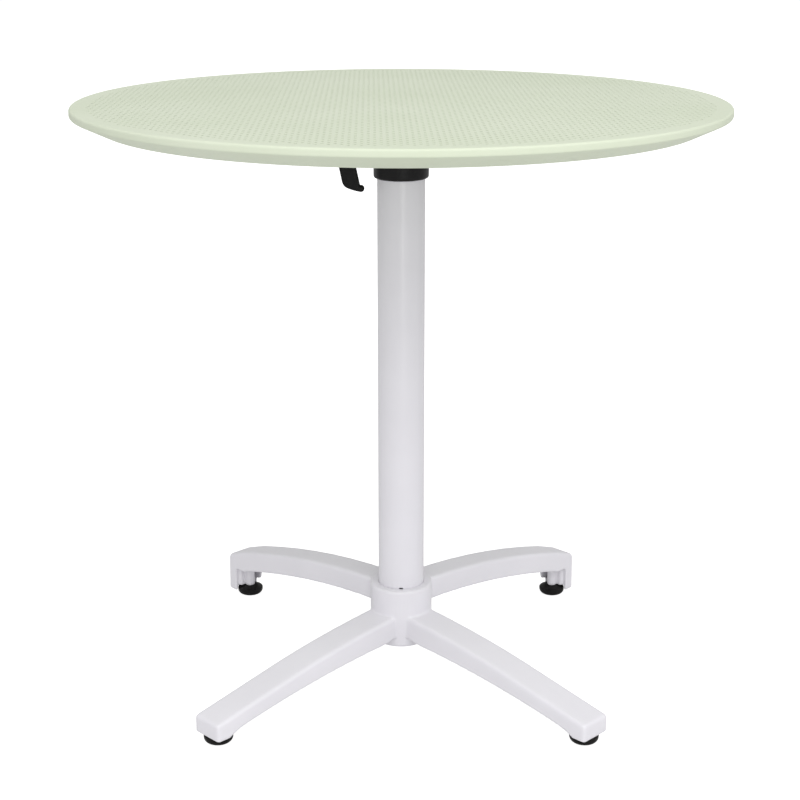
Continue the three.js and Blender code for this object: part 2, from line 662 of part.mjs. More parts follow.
add("table_top", tableTop(), "green_resin", tiltingTop);
add("top_plate", topPlate(), "black_paint", tiltingTop);
add("tilt_pin", tiltPin(), "zinc_steel", tiltingTop);
add("tilt_pin_clip_left", pinClip(-1), "zinc_steel", tiltingTop);
add("tilt_pin_clip_right", pinClip(1), "zinc_steel", tiltingTop);
screwPlaces().forEach((place, i) =>
  add(`plate_screw_${i + 1}`, plateScrew(place), "zinc_steel", tiltingTop),
);
add("lever_pin", leverPin(), "zinc_steel", tiltingTop);
add("lever_spring", leverSpring(), "zinc_steel", tiltingTop);
add("latch_lever", latchLever(), "black_nylon", tiltingTop);

for (const { name, angle } of LEGS) {
  const [x, y] = polar(FOOT_CIRCLE_R, angle);
  const foot = new THREE.Group();
  foot.position.set(x, y, 0);
  add(`foot_glide_${name}`, footGlide(), "black_nylon", foot);
  add(`foot_stud_${name}`, footStud(), "zinc_steel", foot);
  stand.add(foot);
}

export default table;
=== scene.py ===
"""A flip-top bistro table: the looks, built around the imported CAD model.

Each piece made here stands for one CAD node, rides on that node's body and lies where the node lies.
Lengths are in metres. The origin is on the floor under the column, and the camera is on the -Y side.
"""

import json
import math

import bmesh
import bpy
from mathutils import Matrix, Vector

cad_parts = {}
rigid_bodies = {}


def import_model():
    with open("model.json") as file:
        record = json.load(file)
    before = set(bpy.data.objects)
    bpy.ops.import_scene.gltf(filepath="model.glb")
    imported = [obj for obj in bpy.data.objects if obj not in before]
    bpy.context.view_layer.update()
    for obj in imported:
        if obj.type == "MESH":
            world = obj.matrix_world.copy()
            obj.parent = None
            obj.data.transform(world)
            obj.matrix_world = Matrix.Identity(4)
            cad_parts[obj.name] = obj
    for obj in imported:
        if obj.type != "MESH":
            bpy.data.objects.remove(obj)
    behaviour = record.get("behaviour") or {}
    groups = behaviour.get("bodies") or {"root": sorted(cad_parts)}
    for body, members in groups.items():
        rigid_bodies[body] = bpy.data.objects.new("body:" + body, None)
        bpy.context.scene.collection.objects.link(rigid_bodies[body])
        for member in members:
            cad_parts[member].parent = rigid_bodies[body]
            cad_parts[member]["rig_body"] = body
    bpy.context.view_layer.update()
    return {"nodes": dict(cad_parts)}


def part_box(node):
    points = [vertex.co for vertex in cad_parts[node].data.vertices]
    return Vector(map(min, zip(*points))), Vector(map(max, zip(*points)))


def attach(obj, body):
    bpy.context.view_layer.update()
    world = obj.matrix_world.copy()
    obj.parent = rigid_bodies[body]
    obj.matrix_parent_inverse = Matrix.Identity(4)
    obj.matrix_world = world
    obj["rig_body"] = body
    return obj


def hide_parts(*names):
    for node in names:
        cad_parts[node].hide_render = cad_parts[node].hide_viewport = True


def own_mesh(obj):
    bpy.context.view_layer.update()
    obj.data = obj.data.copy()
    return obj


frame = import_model()

MM = 0.001
GAP = 0.3 * MM  # air between CAD pieces that touch
TOUCH = 0.01 * MM
ON_AXIS = 1e-7
CRISP = 38  # degrees from which an edge stays sharp
CAST_CRISP = 60  # and on the castings

CORNERS = ["back_right", "back_left", "front_left", "front_right"]
SIDES = ["left", "right"]

# ---- the camera ----
CAMERA_PLACE = (-0.0015, -2.0134, 0.9863)
CAMERA_PITCH = 72.92  # degrees up from straight down
CAMERA_LENS = 73.4  # mm
CAMERA_SENSOR = 36  # mm

# ---- the studio ----
SKY_FRONT = 1.04  # strength of the white surround where it is brightest
SKY_BACK = 0.38  # and on the opposite side
SKY_BRIGHT_SIDE = (0.12, -0.74, 0.66)
SKY_SEEN = 1.05  # how it looks behind the table
FLOOR_SEEN = 0.85  # how pale the floor looks, before any light falls on it
FLOOR_GLOW = 0.22  # and how much of that it throws back at the table
FLOOR_HALF = 12  # half its width
KEY = {"place": (0.42, -1.9, 2.9), "target": (0, 0, 0.4), "size": (2.2, 1.8), "power": 33}
FRONT = {"place": (0.5, -2.9, 0.75), "target": (0, 0, 0.5), "size": (0.5, 1.3), "power": 8}

# ---- table top ----
TOP_EDGE_ROUND = 3 * MM
TOP_EDGE_DEPTH = 8.6 * MM  # face to where the rim turns inwards
TOP_UNDERCUT = 33 * MM
TOP_SKIN = 5 * MM
RIM_WALL = 5 * MM
RIB = 4 * MM
RIB_RINGS = [76 * MM, 148 * MM, 220 * MM, 292 * MM]
RIB_SPOKES = 12
TOP_SEGMENTS = 144
DOT_SPACING = 9.43 * MM  # side of the square lattice of dimples
DOT_TURN = 46  # degrees the lattice is turned
DOT_R = 1.85 * MM
DOT_FLOOR_R = 1.55 * MM
DOT_DEPTH = 1.2 * MM
DOT_BORDER = 20 * MM  # plain band inside the edge
SCREW_BOSS_R = 9 * MM
SCREW_HOLE_R = 2.8 * MM

# ---- castings ----
BASE_VOXEL = 1.3 * MM
BASE_SOFTENING = 10  # rounds of smoothing
BASE_KEEP = 0.5  # the share of its triangles that are kept after that
HEAD_CAST = {"voxel": 1.0 * MM, "rounds": 8}
PLATE_CAST = {"voxel": 1.6 * MM, "rounds": 6}
LEVER_CAST = {"voxel": 0.6 * MM, "rounds": 6}
LEG_TURN = 45  # degrees that bring the legs in line with the axes

# ---- turned and fastened pieces ----
COLUMN_WALL = 2 * MM
DRAIN_SLOT = {"width": 5 * MM, "height": 3.1 * MM, "lip": 1.5 * MM}  # lip is the part the hub hides
GLIDE_NECK_R = 4.3 * MM
GLIDE_SHOULDER_R = 8.3 * MM
GLIDE_FOOT = 6 * MM  # how far its flat foot keeps in from its rim
GLIDE_EDGE = 7 * MM  # radius of its lower edge
GLIDE_LIP = {"z": 8.6 * MM, "centre": 8.8 * MM, "r": 1.4 * MM}
BUSH_SLEEVE_R = 6.5 * MM
STUD_R = 4 * MM
STUD_BUTTON_TOP = 6.5 * MM
STUD_PITCH = 1.25 * MM
ROD_PITCH = 1.5 * MM
ROD_HOLE_R = 5.5 * MM
PIN_REACH = 60 * MM  # half the length of the tools that bore the plate's ears
RECESS_GAP = 1.5 * MM  # round a screw's head
SEAT_RISE = 12 * MM  # how far above the upper washer its seat is cut free
BUSH_FLANGE = 1.5 * MM
LEVER_PIN_HEAD = 1.5 * MM  # its height, and how far it stands out
ROD_THREAD = 26 * MM  # threaded length at each end of the tie rod
SCREW_R = 2.5 * MM
SCREW_PITCH = 1.8 * MM
SCREW_HEAD = 3.2 * MM
SCREW_HEAD_EDGE = 1.6 * MM
SOCKET = {"flats": 3.2 * MM, "depth": 1.8 * MM, "turn": 0.3}
THREAD_SHARE = 0.61  # thread depth over pitch
SPRING_WIRE_R = 0.55 * MM
SPRING_TURNS = 6
SPRING_CLOSED = 0.12  # the share of its wire in the closed coil at each end
CLOSED_PITCH = 0.1  # and how steep that is against the whole
STEPS_PER_COIL = 28
WIRE_SIDES = 10
ROWS_PER_TURN = 8
FINE_ROUND = 64
SMALL_ROUND = 32


# ---- meshes ----
def piece_of(name, mesh):
    piece = bpy.data.objects.new(name, mesh)
    bpy.context.scene.collection.objects.link(piece)
    return piece


def mesh_of(name, bm, sharp=CRISP):
    """A bmesh as a smooth-shaded mesh with its normals out and edges over sharp degrees kept crisp."""
    bmesh.ops.recalc_face_normals(bm, faces=bm.faces)
    mesh = bpy.data.meshes.new(name)
    bm.to_mesh(mesh)
    bm.free()
    shade(mesh, sharp)
    return mesh


def shade(mesh, sharp=CRISP):
    mesh.shade_smooth()
    mesh.set_sharp_from_angle(angle=math.radians(sharp))


def apply_modifiers(piece):
    depsgraph = bpy.context.evaluated_depsgraph_get()
    made = bpy.data.meshes.new_from_object(piece.evaluated_get(depsgraph))
    piece.modifiers.clear()
    piece.data = made
    return piece


def boolean(piece, tool, operation):
    """Joins, cuts or crosses piece with the tool piece, which is used up."""
    modifier = piece.modifiers.new(operation, "BOOLEAN")
    modifier.operation = operation
    modifier.solver = "EXACT"
    modifier.object = tool
    apply_modifiers(piece)
    bpy.data.objects.remove(tool)
    return piece


def arc(centre_r, centre_z, radius, start, end, steps=8):
    """Points on an arc, from one angle to another in degrees."""
    angles = [math.radians(start + (end - start) * i / steps) for i in range(steps + 1)]
    return [(centre_r + radius * math.cos(a), centre_z + radius * math.sin(a)) for a in angles]


def polygon(sides, size, turn=0.0):
    """The corners of a regular polygon, as (x, y)."""
    angles = [turn + 2 * math.pi * k / sides for k in range(sides)]
    return [(size * math.cos(a), size * math.sin(a)) for a in angles]


def rounded(points, radius, steps=3):
    """A closed outline with its corners turned into small curves. Points on the axis stay."""
    out = []
    for i, point in enumerate(points):
        here = Vector(point)
        into = Vector(points[i - 1]) - here
        away = Vector(points[(i + 1) % len(points)]) - here
        if here.x < ON_AXIS:
            out.append(tuple(here))
            continue
        start = here + into.normalized() * min(radius, 0.45 * into.length)
        end = here + away.normalized() * min(radius, 0.45 * away.length)
        for k in range(steps + 1):
            t = k / steps
            out.append(tuple((1 - t) ** 2 * start + 2 * t * (1 - t) * here + t * t * end))
    return out


def thread_rows(radius, low, high, pitch):
    """Profile rows (r, z, depth) of a thread that runs out over one turn at each end."""
    rows = max(2, round((high - low) / pitch * ROWS_PER_TURN))
    depth = THREAD_SHARE * pitch
    fade = [min(1.0, min(i, rows - i) / ROWS_PER_TURN) for i in range(rows + 1)]
    return [(radius, low + (high - low) * i / rows, depth * fade[i], pitch) for i in range(rows + 1)]


def radius_at(row, angle):
    """The radius of a profile row at an angle: threaded rows wind once round for each pitch."""
    if len(row) == 2:
        return row[0]
    radius, z, depth, pitch = row
    return radius - depth * (0.5 - 0.5 * math.cos(2 * math.pi * z / pitch - angle))


def add_turned(bm, profile, segments):
    """Turns a profile of rows about Z. It closes on itself unless it starts on the axis."""
    angles = [2 * math.pi * i / segments for i in range(segments)]
    rings = []
    for row in profile:
        if row[0] < ON_AXIS:
            rings.append([bm.verts.new((0, 0, row[1]))])
            continue
        radii = [radius_at(row, a) for a in angles]
        spots = [(r * math.cos(a), r * math.sin(a), row[1]) for r, a in zip(radii, angles)]
        rings.append([bm.verts.new(spot) for spot in spots])
    following = rings[1:] + ([rings[0]] if profile[0][0] > ON_AXIS else [])
    for low, high in zip(rings, following):
        for i in range(segments):
            j = (i + 1) % segments
            corners = [low[i % len(low)], low[j % len(low)], high[j % len(high)], high[i % len(high)]]
            unique = list(dict.fromkeys(corners))
            if len(unique) > 2:
                bm.faces.new(unique)


def add_prism(bm, outline, low, high):
    """An outline in (x, y), from low to high along Z."""
    floor = [bm.verts.new((x, y, low)) for x, y in outline]
    roof = [bm.verts.new((x, y, high)) for x, y in outline]
    bm.faces.new(floor[::-1])
    bm.faces.new(roof)
    for i in range(len(outline)):
        j = (i + 1) % len(outline)
        bm.faces.new([floor[i], floor[j], roof[j], roof[i]])


# Rotations that carry a shape made along Z onto another axis.
ONTO = {
    "X": Matrix(((0, 0, 1, 0), (1, 0, 0, 0), (0, 1, 0, 0), (0, 0, 0, 1))),
    "Y": Matrix(((0, 1, 0, 0), (0, 0, 1, 0), (1, 0, 0, 0), (0, 0, 0, 1))),
    "Z": Matrix.Identity(4),
}


def centre_line(node, axis):
    """The middle of a node's box, on the plane through the origin across axis."""
    low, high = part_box(node)
    middle = (low + high) / 2
    middle["XYZ".index(axis)] = 0
    return middle


def span(node, axis):
    """A node's lowest and highest place along an axis."""
    low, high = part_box(node)
    index = "XYZ".index(axis)
    return low[index], high[index]


def turned(node, profile, segments=FINE_ROUND, axis="Z"):
    """A turned piece on a node's own axis."""
    bm = bmesh.new()
    add_turned(bm, profile, segments)
    place = Matrix.Translation(centre_line(node, axis)) @ ONTO[axis]
    bmesh.ops.transform(bm, matrix=place, verts=bm.verts)
    return piece_of(node + ".shape", mesh_of(node, bm))


def cast_copy(node, voxel, rounds):
    """A copy of a node with the soft corners and fillets of a casting or moulding."""
    piece = piece_of(node + ".shape", frame["nodes"][node].data.copy())
    return soften(piece, voxel, rounds)


def soften(piece, voxel, rounds):
    remesh = piece.modifiers.new("Remesh", "REMESH")
    remesh.mode = "VOXEL"
    remesh.voxel_size = voxel
    smooth = piece.modifiers.new("Smooth", "SMOOTH")
    smooth.factor = 0.5
    smooth.iterations = rounds
    apply_modifiers(piece)
    shade(piece.data, CAST_CRISP)
    return piece


def post_piece(radius, low, high, segments=2 * FINE_ROUND):
    """A plain round bar on the column's axis, as a tool."""
    bm = bmesh.new()
    add_turned(bm, [(0, low), (radius, low), (radius, high), (0, high)], segments)
    return piece_of("post", mesh_of("post", bm))


def bored(piece, posts, axis="Z"):
    """Bores round holes back to their true size: each is (radius, middle, low, high) along axis."""
    bm = bmesh.new()
    for radius, middle, low, high in posts:
        post = bmesh.new()
        add_turned(post, [(0, low), (radius, low), (radius, high), (0, high)], SMALL_ROUND)
        bmesh.ops.transform(post, matrix=Matrix.Translation(middle) @ ONTO[axis], verts=post.verts)
        merge(bm, post)
    boolean(piece, piece_of("bores", mesh_of("bores", bm)), "DIFFERENCE")
    shade(piece.data, CAST_CRISP)
    return piece


def stand_for(node, piece, material):
    """Puts a finished piece in a node's place, on the node's own body."""
    piece.name = node + "_skin"
    piece.data.name = piece.name
    dress(piece, material)
    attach(piece, frame["nodes"][node]["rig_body"])
    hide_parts(node)
    return piece


def dress(piece, material):
    if piece.data.materials:
        piece.data.materials.clear()
    piece.data.materials.append(material)


# ---- materials ----
def linear(*srgb):
    """An sRGB colour of 0 to 255 as the linear RGBA that a shader takes."""
    shares = [c / 255 for c in srgb]
    rgb = [s / 12.92 if s <= 0.04045 else ((s + 0.055) / 1.055) ** 2.4 for s in shares]
    return (*rgb, 1.0)


class Finish:
    """A material built up from object-space noises, all sized in bumps per metre."""

    def __init__(self, name, **sockets):
        self.material = bpy.data.materials.new(name)
        self.material.use_nodes = True
        self.tree = self.material.node_tree
        self.shader = self.tree.nodes["Principled BSDF"]
        self.place = self.tree.nodes.new("ShaderNodeTexCoord").outputs["Object"]
        self.height = None
        for socket, value in sockets.items():
            self.shader.inputs[socket.replace("_", " ")].default_value = value

    def node(self, kind, **inputs):
        made = self.tree.nodes.new(kind)
        for socket, value in inputs.items():
            self.feed(made.inputs[socket.replace("_", " ")], value)
        return made

    def feed(self, socket, value):
        if isinstance(value, bpy.types.NodeSocket):
            self.tree.links.new(value, socket)
        else:
            socket.default_value = value

    def noise(self, scale, detail=3.0, stretch=None):
        place = self.place
        if stretch:
            place = self.node("ShaderNodeMapping", Vector=place, Scale=stretch).outputs["Vector"]
        made = self.node("ShaderNodeTexNoise", Vector=place, Scale=scale, Detail=detail)
        return made.outputs["Fac"]

    def spread(self, value, low, high):
        """A noise, which keeps to the middle of its range, spread from low to high."""
        inputs = {"Value": value, "From_Min": 0.3, "From_Max": 0.7, "To_Min": low, "To_Max": high}
        return self.node("ShaderNodeMapRange", **inputs).outputs["Result"]

    def colour(self, value, low, high):
        """Runs the base colour from one to another along a noise."""
        mix = self.tree.nodes.new("ShaderNodeMix")
        mix.data_type = "RGBA"
        share, first, second = mix.inputs[0], mix.inputs[6], mix.inputs[7]
        self.feed(share, self.spread(value, 0.0, 1.0))
        first.default_value = low
        second.default_value = high
        self.tree.links.new(mix.outputs[2], self.shader.inputs["Base Color"])

    def roughness(self, value, low, high):
        self.tree.links.new(self.spread(value, low, high), self.shader.inputs["Roughness"])

    def bump(self, value, distance, strength=1.0):
        """Adds a relief; a second one goes on top of the first."""
        inputs = {"Height": value, "Distance": distance, "Strength": strength}
        if self.height:
            inputs["Normal"] = self.height
        self.height = self.node("ShaderNodeBump", **inputs).outputs["Normal"]
        self.tree.links.new(self.height, self.shader.inputs["Normal"])


def green_resin():
    """Pale green moulded resin with a fine matt grain and a faint flow mottle."""
    made = Finish("green_resin", Specular_IOR_Level=0.38)
    made.colour(made.noise(7, 4), linear(205, 213, 191), linear(210, 217, 197))
    made.roughness(made.noise(160, 4), 0.46, 0.58)
    made.bump(made.noise(1400, 2), 0.05 * MM)
    made.bump(made.noise(260, 2), 0.05 * MM)
    return made.material


def dimple_painted_shade():
    """The same resin down in the dimples: rougher, and coloured darker as painted shade in the recesses."""
    made = Finish("green_resin_dimple_painted_shade", Specular_IOR_Level=0.15)
    # the darker colour is painted shade, standing in for the shadow inside each dimple
    made.colour(made.noise(60, 4), linear(174, 183, 161), linear(186, 195, 173))
    made.roughness(made.noise(400, 3), 0.75, 0.9)
    made.bump(made.noise(1400, 2), 0.05 * MM)
    return made.material


def powder_coat(name, low, high, peel, grain, rough, gloss=0.5, relief=0.04 * MM):
    """Sprayed and baked powder: an orange-peel swell under a finer grain."""
    made = Finish(name, Specular_IOR_Level=gloss)
    made.colour(made.noise(12, 3), low, high)
    made.roughness(made.noise(240, 3), *rough)
    made.bump(made.noise(peel, 1), relief)
    made.bump(made.noise(grain, 2), relief / 2)
    return made.material


def moulded_nylon(name, low, high, rough, gloss=0.5):
    made = Finish(name, Specular_IOR_Level=gloss)
    made.colour(made.noise(40, 3), low, high)
    made.roughness(made.noise(300, 3), *rough)
    made.bump(made.noise(1100, 3), 0.05 * MM)
    return made.material


def zinc_steel():
    """Bright zinc plate over turned steel, with fine streaks round the turning axis."""
    made = Finish("zinc_steel", Metallic=1.0)
    made.colour(made.noise(60, 3), linear(186, 188, 190), linear(206, 206, 202))
    made.roughness(made.noise(500, 3), 0.24, 0.42)
    made.bump(made.noise(900, 2, stretch=(0.15, 0.15, 3.0)), 0.02 * MM)
    return made.material


def black_rubber():
    made = Finish("black_rubber", Specular_IOR_Level=0.2)
    made.colour(made.noise(80, 3), linear(20, 20, 20), linear(30, 30, 30))
    made.roughness(made.noise(400, 3), 0.7, 0.88)
    made.bump(made.noise(900, 3), 0.08 * MM)
    return made.material


GREEN = green_resin()
DIMPLE_PAINTED_SHADE = dimple_painted_shade()
WHITE = powder_coat("white_paint", linear(221, 219, 225), linear(225, 223, 229), 420, 1500, (0.36, 0.46))
COLUMN_TINTS = linear(219, 217, 223), linear(223, 221, 227)
COLUMN = powder_coat("column_paint", *COLUMN_TINTS, 300, 1600, (0.29, 0.32), relief=0.006 * MM)
BLACK = powder_coat("black_paint", linear(12, 11, 12), linear(17, 16, 17), 700, 1800, (0.36, 0.48), 0.2)
NYLON = moulded_nylon("black_nylon", linear(10, 9, 9), linear(15, 14, 14), (0.4, 0.54), 0.16)
WHITE_NYLON = moulded_nylon("white_nylon", linear(222, 222, 216), linear(232, 232, 227), (0.38, 0.5))
RUBBER = black_rubber()
ZINC = zinc_steel()


# ---- table top ----
def top_profile(top, underside, radius):
    """The section of the top without its dimples, from the axis out along the underside and back."""
    skin = top - TOP_SKIN
    rib_bottom = span("top_plate", "Z")[1] + GAP
    rim_inner = radius - TOP_UNDERCUT - RIM_WALL
    below = [(0, skin)]
    for rib in RIB_RINGS:
        left, right = rib - RIB / 2, rib + RIB / 2
        below += [(left, skin), (left, rib_bottom), (right, rib_bottom), (right, skin)]
    below += [
        (rim_inner, skin),
        (rim_inner, underside),
        (radius - TOP_UNDERCUT, underside),
        (radius - 0.6 * MM, top - TOP_EDGE_DEPTH - 0.6 * MM),
        (radius, top - TOP_EDGE_DEPTH + 0.6 * MM),
        (radius, top),
        (0, top),
    ]
    soft = rounded(below, 0.8 * MM, 2)
    keep = [p for p in soft[:-1] if p[1] < top - TOP_EDGE_ROUND]
    edge = arc(radius - TOP_EDGE_ROUND, top - TOP_EDGE_ROUND, TOP_EDGE_ROUND, 0, 90)
    return keep + edge + [(radius - TOP_EDGE_ROUND - 1 * MM, top), (0, top)]


def ribs_and_bosses(skin, radius):
    """Spokes between the rings and the rim, and a boss for each screw, as one tool."""
    low = span("top_plate", "Z")[1] + GAP
    spoke_low = low + 0.5 * MM
    high = skin + 1 * MM
    inner, outer = RIB_RINGS[0], radius - TOP_UNDERCUT - 2 * MM
    bm = bmesh.new()
    for i in range(RIB_SPOKES):
        spoke = bmesh.new()
        corners = [(inner, -RIB / 2), (outer, -RIB / 2), (outer, RIB / 2), (inner, RIB / 2)]
        add_prism(spoke, corners, spoke_low, high)
        turn = Matrix.Rotation(2 * math.pi * i / RIB_SPOKES, 4, "Z")
        bmesh.ops.transform(spoke, matrix=turn, verts=spoke.verts)
        merge(bm, spoke)
    for x, y in screw_places():
        add_post(bm, SCREW_BOSS_R, x, y, low, high)
    return piece_of("ribs", mesh_of("ribs", bm))


def merge(bm, other):
    """Adds another bmesh, which is used up."""
    scratch = bpy.data.meshes.new("scratch")
    other.to_mesh(scratch)
    other.free()
    bm.from_mesh(scratch)
    bpy.data.meshes.remove(scratch)


def add_post(bm, radius, x, y, low, high):
    post = bmesh.new()
    add_turned(post, [(0, low), (radius, low), (radius, high), (0, high)], SMALL_ROUND)
    bmesh.ops.translate(post, vec=(x, y, 0), verts=post.verts)
    merge(bm, post)


def screw_places():
    """The middles of the plate screws, read from their nodes."""
    places = [centre_line(f"plate_screw_{i + 1}", "Z") for i in range(8)]
    return [(p.x, p.y) for p in places]


def add_dots(bm, top, radius):
    """The dimpled field: a square lattice of cells, each a flat frame round a shallow octagon."""
    turn = Matrix.Rotation(math.radians(DOT_TURN), 2)
    reach = math.ceil(radius / DOT_SPACING)
    corners = {}

    def corner(i, j):
        if (i, j) not in corners:
            x, y = turn @ (Vector((i, j)) * DOT_SPACING)
            corners[i, j] = bm.verts.new((x, y, top))
        return corners[i, j]

    def ring(centre, size, z):
        spots = [turn @ Vector(spot) for spot in polygon(8, size)]
        return [bm.verts.new((centre.x + s.x, centre.y + s.y, z)) for s in spots]

    for i in range(-reach, reach):
        for j in range(-reach, reach):
            centre = turn @ (Vector((i + 0.5, j + 0.5)) * DOT_SPACING)
            if centre.length > radius:
                continue
            square = [corner(i + 1, j + 1), corner(i, j + 1), corner(i, j), corner(i + 1, j)]
            lip = ring(centre, DOT_R, top)
            floor = ring(centre, DOT_FLOOR_R, top - DOT_DEPTH)
            for k in range(4):
                a, b, c = lip[2 * k], lip[2 * k + 1], lip[(2 * k + 2) % 8]
                bm.faces.new([square[k], b, a])
                bm.faces.new([square[k], c, b])
                bm.faces.new([square[k], square[(k + 1) % 4], c])
            for k in range(8):
                n = (k + 1) % 8
                # material 1 is the dimple resin, coloured darker as painted shade
                bm.faces.new([lip[k], lip[n], floor[n], floor[k]]).material_index = 1
                bm.edges.get([lip[k], lip[n]]).smooth = False
            bm.faces.new(floor).material_index = 1


def table_top():
    """The moulded top: a closed shell with real dimples above and real ribs below."""
    low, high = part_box("table_top")
    top, radius = high.z, (high.x - low.x) / 2
    shell = turned("table_top", top_profile(top, low.z, radius), TOP_SEGMENTS)
    boolean(shell, ribs_and_bosses(top - TOP_SKIN, radius), "UNION")
    holes = bmesh.new()
    hole_top = span("plate_screw_1", "Z")[1] + 0.5 * MM
    for x, y in screw_places():
        add_post(holes, SCREW_HOLE_R, x, y, low.z, hole_top)
    boolean(shell, piece_of("holes", mesh_of("holes", holes)), "DIFFERENCE")

    bm = bmesh.new()
    bm.from_mesh(shell.data)
    flat_r = radius - TOP_EDGE_ROUND - 0.5 * MM
    inside = {v for v in bm.verts if v.co.z > top - TOUCH and v.co.xy.length < flat_r}
    face = [f for f in bm.faces if all(v in inside for v in f.verts)]
    bmesh.ops.delete(bm, geom=face, context="FACES")
    for edge in bm.edges:
        edge.smooth = len(edge.link_faces) < 2 or edge.calc_face_angle() < math.radians(CRISP)
    add_dots(bm, top, radius - DOT_BORDER)
    open_edges = [e for e in bm.edges if len(e.link_faces) == 1]
    bmesh.ops.triangle_fill(bm, edges=open_edges, use_beauty=True, normal=(0, 0, 1))
    bmesh.ops.recalc_face_normals(bm, faces=bm.faces)
    for each in bm.faces:
        each.smooth = True
    bm.to_mesh(shell.data)
    bm.free()
    return shell


# ---- base, column, rod and feet ----
def base_casting():
    """The casting, softened with its column socket filled, thinned out, then bored to crisp edges."""
    piece = piece_of("base_casting.shape", frame["nodes"]["base_casting"].data.copy())
    low = span("column_tube", "Z")[0] - GAP
    high = span("base_casting", "Z")[1]
    bore_r = half_width("column_tube") + GAP
    boolean(piece, post_piece(bore_r + 4 * MM, low - 2 * MM, high), "UNION")
    turn = Matrix.Rotation(math.radians(LEG_TURN), 4, "Z")
    piece.data.transform(turn)
    soften(piece, BASE_VOXEL, BASE_SOFTENING)
    piece.data.transform(turn.inverted())
    thin = piece.modifiers.new("Thin", "DECIMATE")
    thin.ratio = BASE_KEEP
    apply_modifiers(piece)
    boolean(piece, post_piece(bore_r, low, high + 5 * MM), "DIFFERENCE")
    studs = [f"foot_stud_{corner}" for corner in CORNERS]
    posts = [(STUD_R + GAP, centre_line(node, "Z"), 0, span(node, "Z")[1] + 1 * MM) for node in studs]
    posts.append((ROD_HOLE_R, centre_line("tie_rod", "Z"), 0, low + 5 * MM))
    return bored(piece, posts)


def column_head():
    """The head, softened, with the column's socket and the upper washer's seat bored out."""
    piece = cast_copy("column_head", **HEAD_CAST)
    axis = centre_line("column_tube", "Z")
    washer_low, washer_high = span("tie_rod_washer_upper", "Z")
    socket_r = half_width("column_tube") + GAP
    seat_r = half_width("tie_rod_washer_upper") + GAP
    socket = (socket_r, axis, span("column_head", "Z")[0] - 5 * MM, span("column_tube", "Z")[1] + GAP)
    seat = (seat_r, axis, washer_low - GAP, washer_high + SEAT_RISE)
    return bored(piece, [socket, seat])


def top_plate():
    """The plate, softened, with its holes for the screws and both pins bored out."""
    piece = cast_copy("top_plate", **PLATE_CAST)
    under, over = span("top_plate", "Z")
    screws = [f"plate_screw_{i + 1}" for i in range(8)]
    seat = span(screws[0], "Z")[0] + SCREW_HEAD + GAP
    bored(piece, [(SCREW_HOLE_R, centre_line(node, "Z"), under, over + 5 * MM) for node in screws])
    recess = half_width(screws[0]) + RECESS_GAP
    bored(piece, [(recess, centre_line(node, "Z"), under, seat) for node in screws])
    tilt_r = half_width("tilt_pin", "Z") + GAP
    bored(piece, [(tilt_r, centre_line("tilt_pin", "X"), -PIN_REACH, PIN_REACH)], "X")
    lever_r = half_width("lever_pin", "Z") - LEVER_PIN_HEAD + GAP
    return bored(piece, [(lever_r, centre_line("lever_pin", "Y"), -PIN_REACH, PIN_REACH)], "Y")


def column_tube():
    low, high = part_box("column_tube")
    radius = (high.x - low.x) / 2
    hub_top = span("base_casting", "Z")[1]
    floor = hub_top - DRAIN_SLOT["lip"]
    roof = floor + DRAIN_SLOT["height"]
    beside_slot = [(radius, z) for z in (floor - 1 * MM, roof + 1 * MM)]
    bore = radius - COLUMN_WALL
    wall = [(radius, low.z), *beside_slot, (radius, high.z), (bore, high.z), (bore, low.z)]
    tube = turned("column_tube", rounded(wall, 0.4 * MM), 2 * FINE_ROUND)
    half = DRAIN_SLOT["width"] / 2
    outline = rounded([(floor, half), (floor, -half), (roof, -half), (roof, half)], 0.9 * MM)
    bm = bmesh.new()
    add_prism(bm, outline, -radius - 2 * MM, -radius + 3 * COLUMN_WALL)
    bmesh.ops.transform(bm, matrix=ONTO["Y"], verts=bm.verts)
    return boolean(tube, piece_of("slot", mesh_of("slot", bm)), "DIFFERENCE")


def tie_rod():
    low, high = span("tie_rod", "Z")
    radius = half_width("tie_rod")
    tip = 1 * MM
    rows = [(0, low), (radius - tip, low)]
    rows += thread_rows(radius, low + tip, low + ROD_THREAD, ROD_PITCH)
    rows += thread_rows(radius, high - ROD_THREAD, high - tip, ROD_PITCH)
    rows += [(radius - tip, high), (0, high)]
    return turned("tie_rod", rows, SMALL_ROUND)


def half_width(node, axis="X"):
    low, high = span(node, axis)
    return (high - low) / 2


def washer(node):
    low, high = span(node, "Z")
    inner = half_width("tie_rod") + GAP
    outer = half_width(node)
    section = [(inner, low), (outer, low), (outer, high), (inner, high)]
    return turned(node, rounded(section, 0.3 * MM), FINE_ROUND)


def nut(node):
    """A hexagon nut: a prism crossed with a turned blank, which gives it chamfered corners."""
    low, high = span(node, "Z")
    corner = half_width(node)
    inner = half_width("tie_rod") + GAP
    chamfer = corner * 0.12
    blank = [
        (inner + 0.6 * MM, low),
        (corner - chamfer, low),
        (corner, low + chamfer * 0.6),
        (corner, high - chamfer * 0.6),
        (corner - chamfer, high),
        (inner + 0.6 * MM, high),
        (inner, high - 0.6 * MM),
        (inner, low + 0.6 * MM),
    ]
    piece = turned(node, blank, 2 * SMALL_ROUND)
    bm = bmesh.new()
    add_prism(bm, polygon(6, corner), low - 1 * MM, high + 1 * MM)
    boolean(piece, piece_of("hexagon", mesh_of("hexagon", bm)), "INTERSECT")
    shade(piece.data, 25)
    return piece


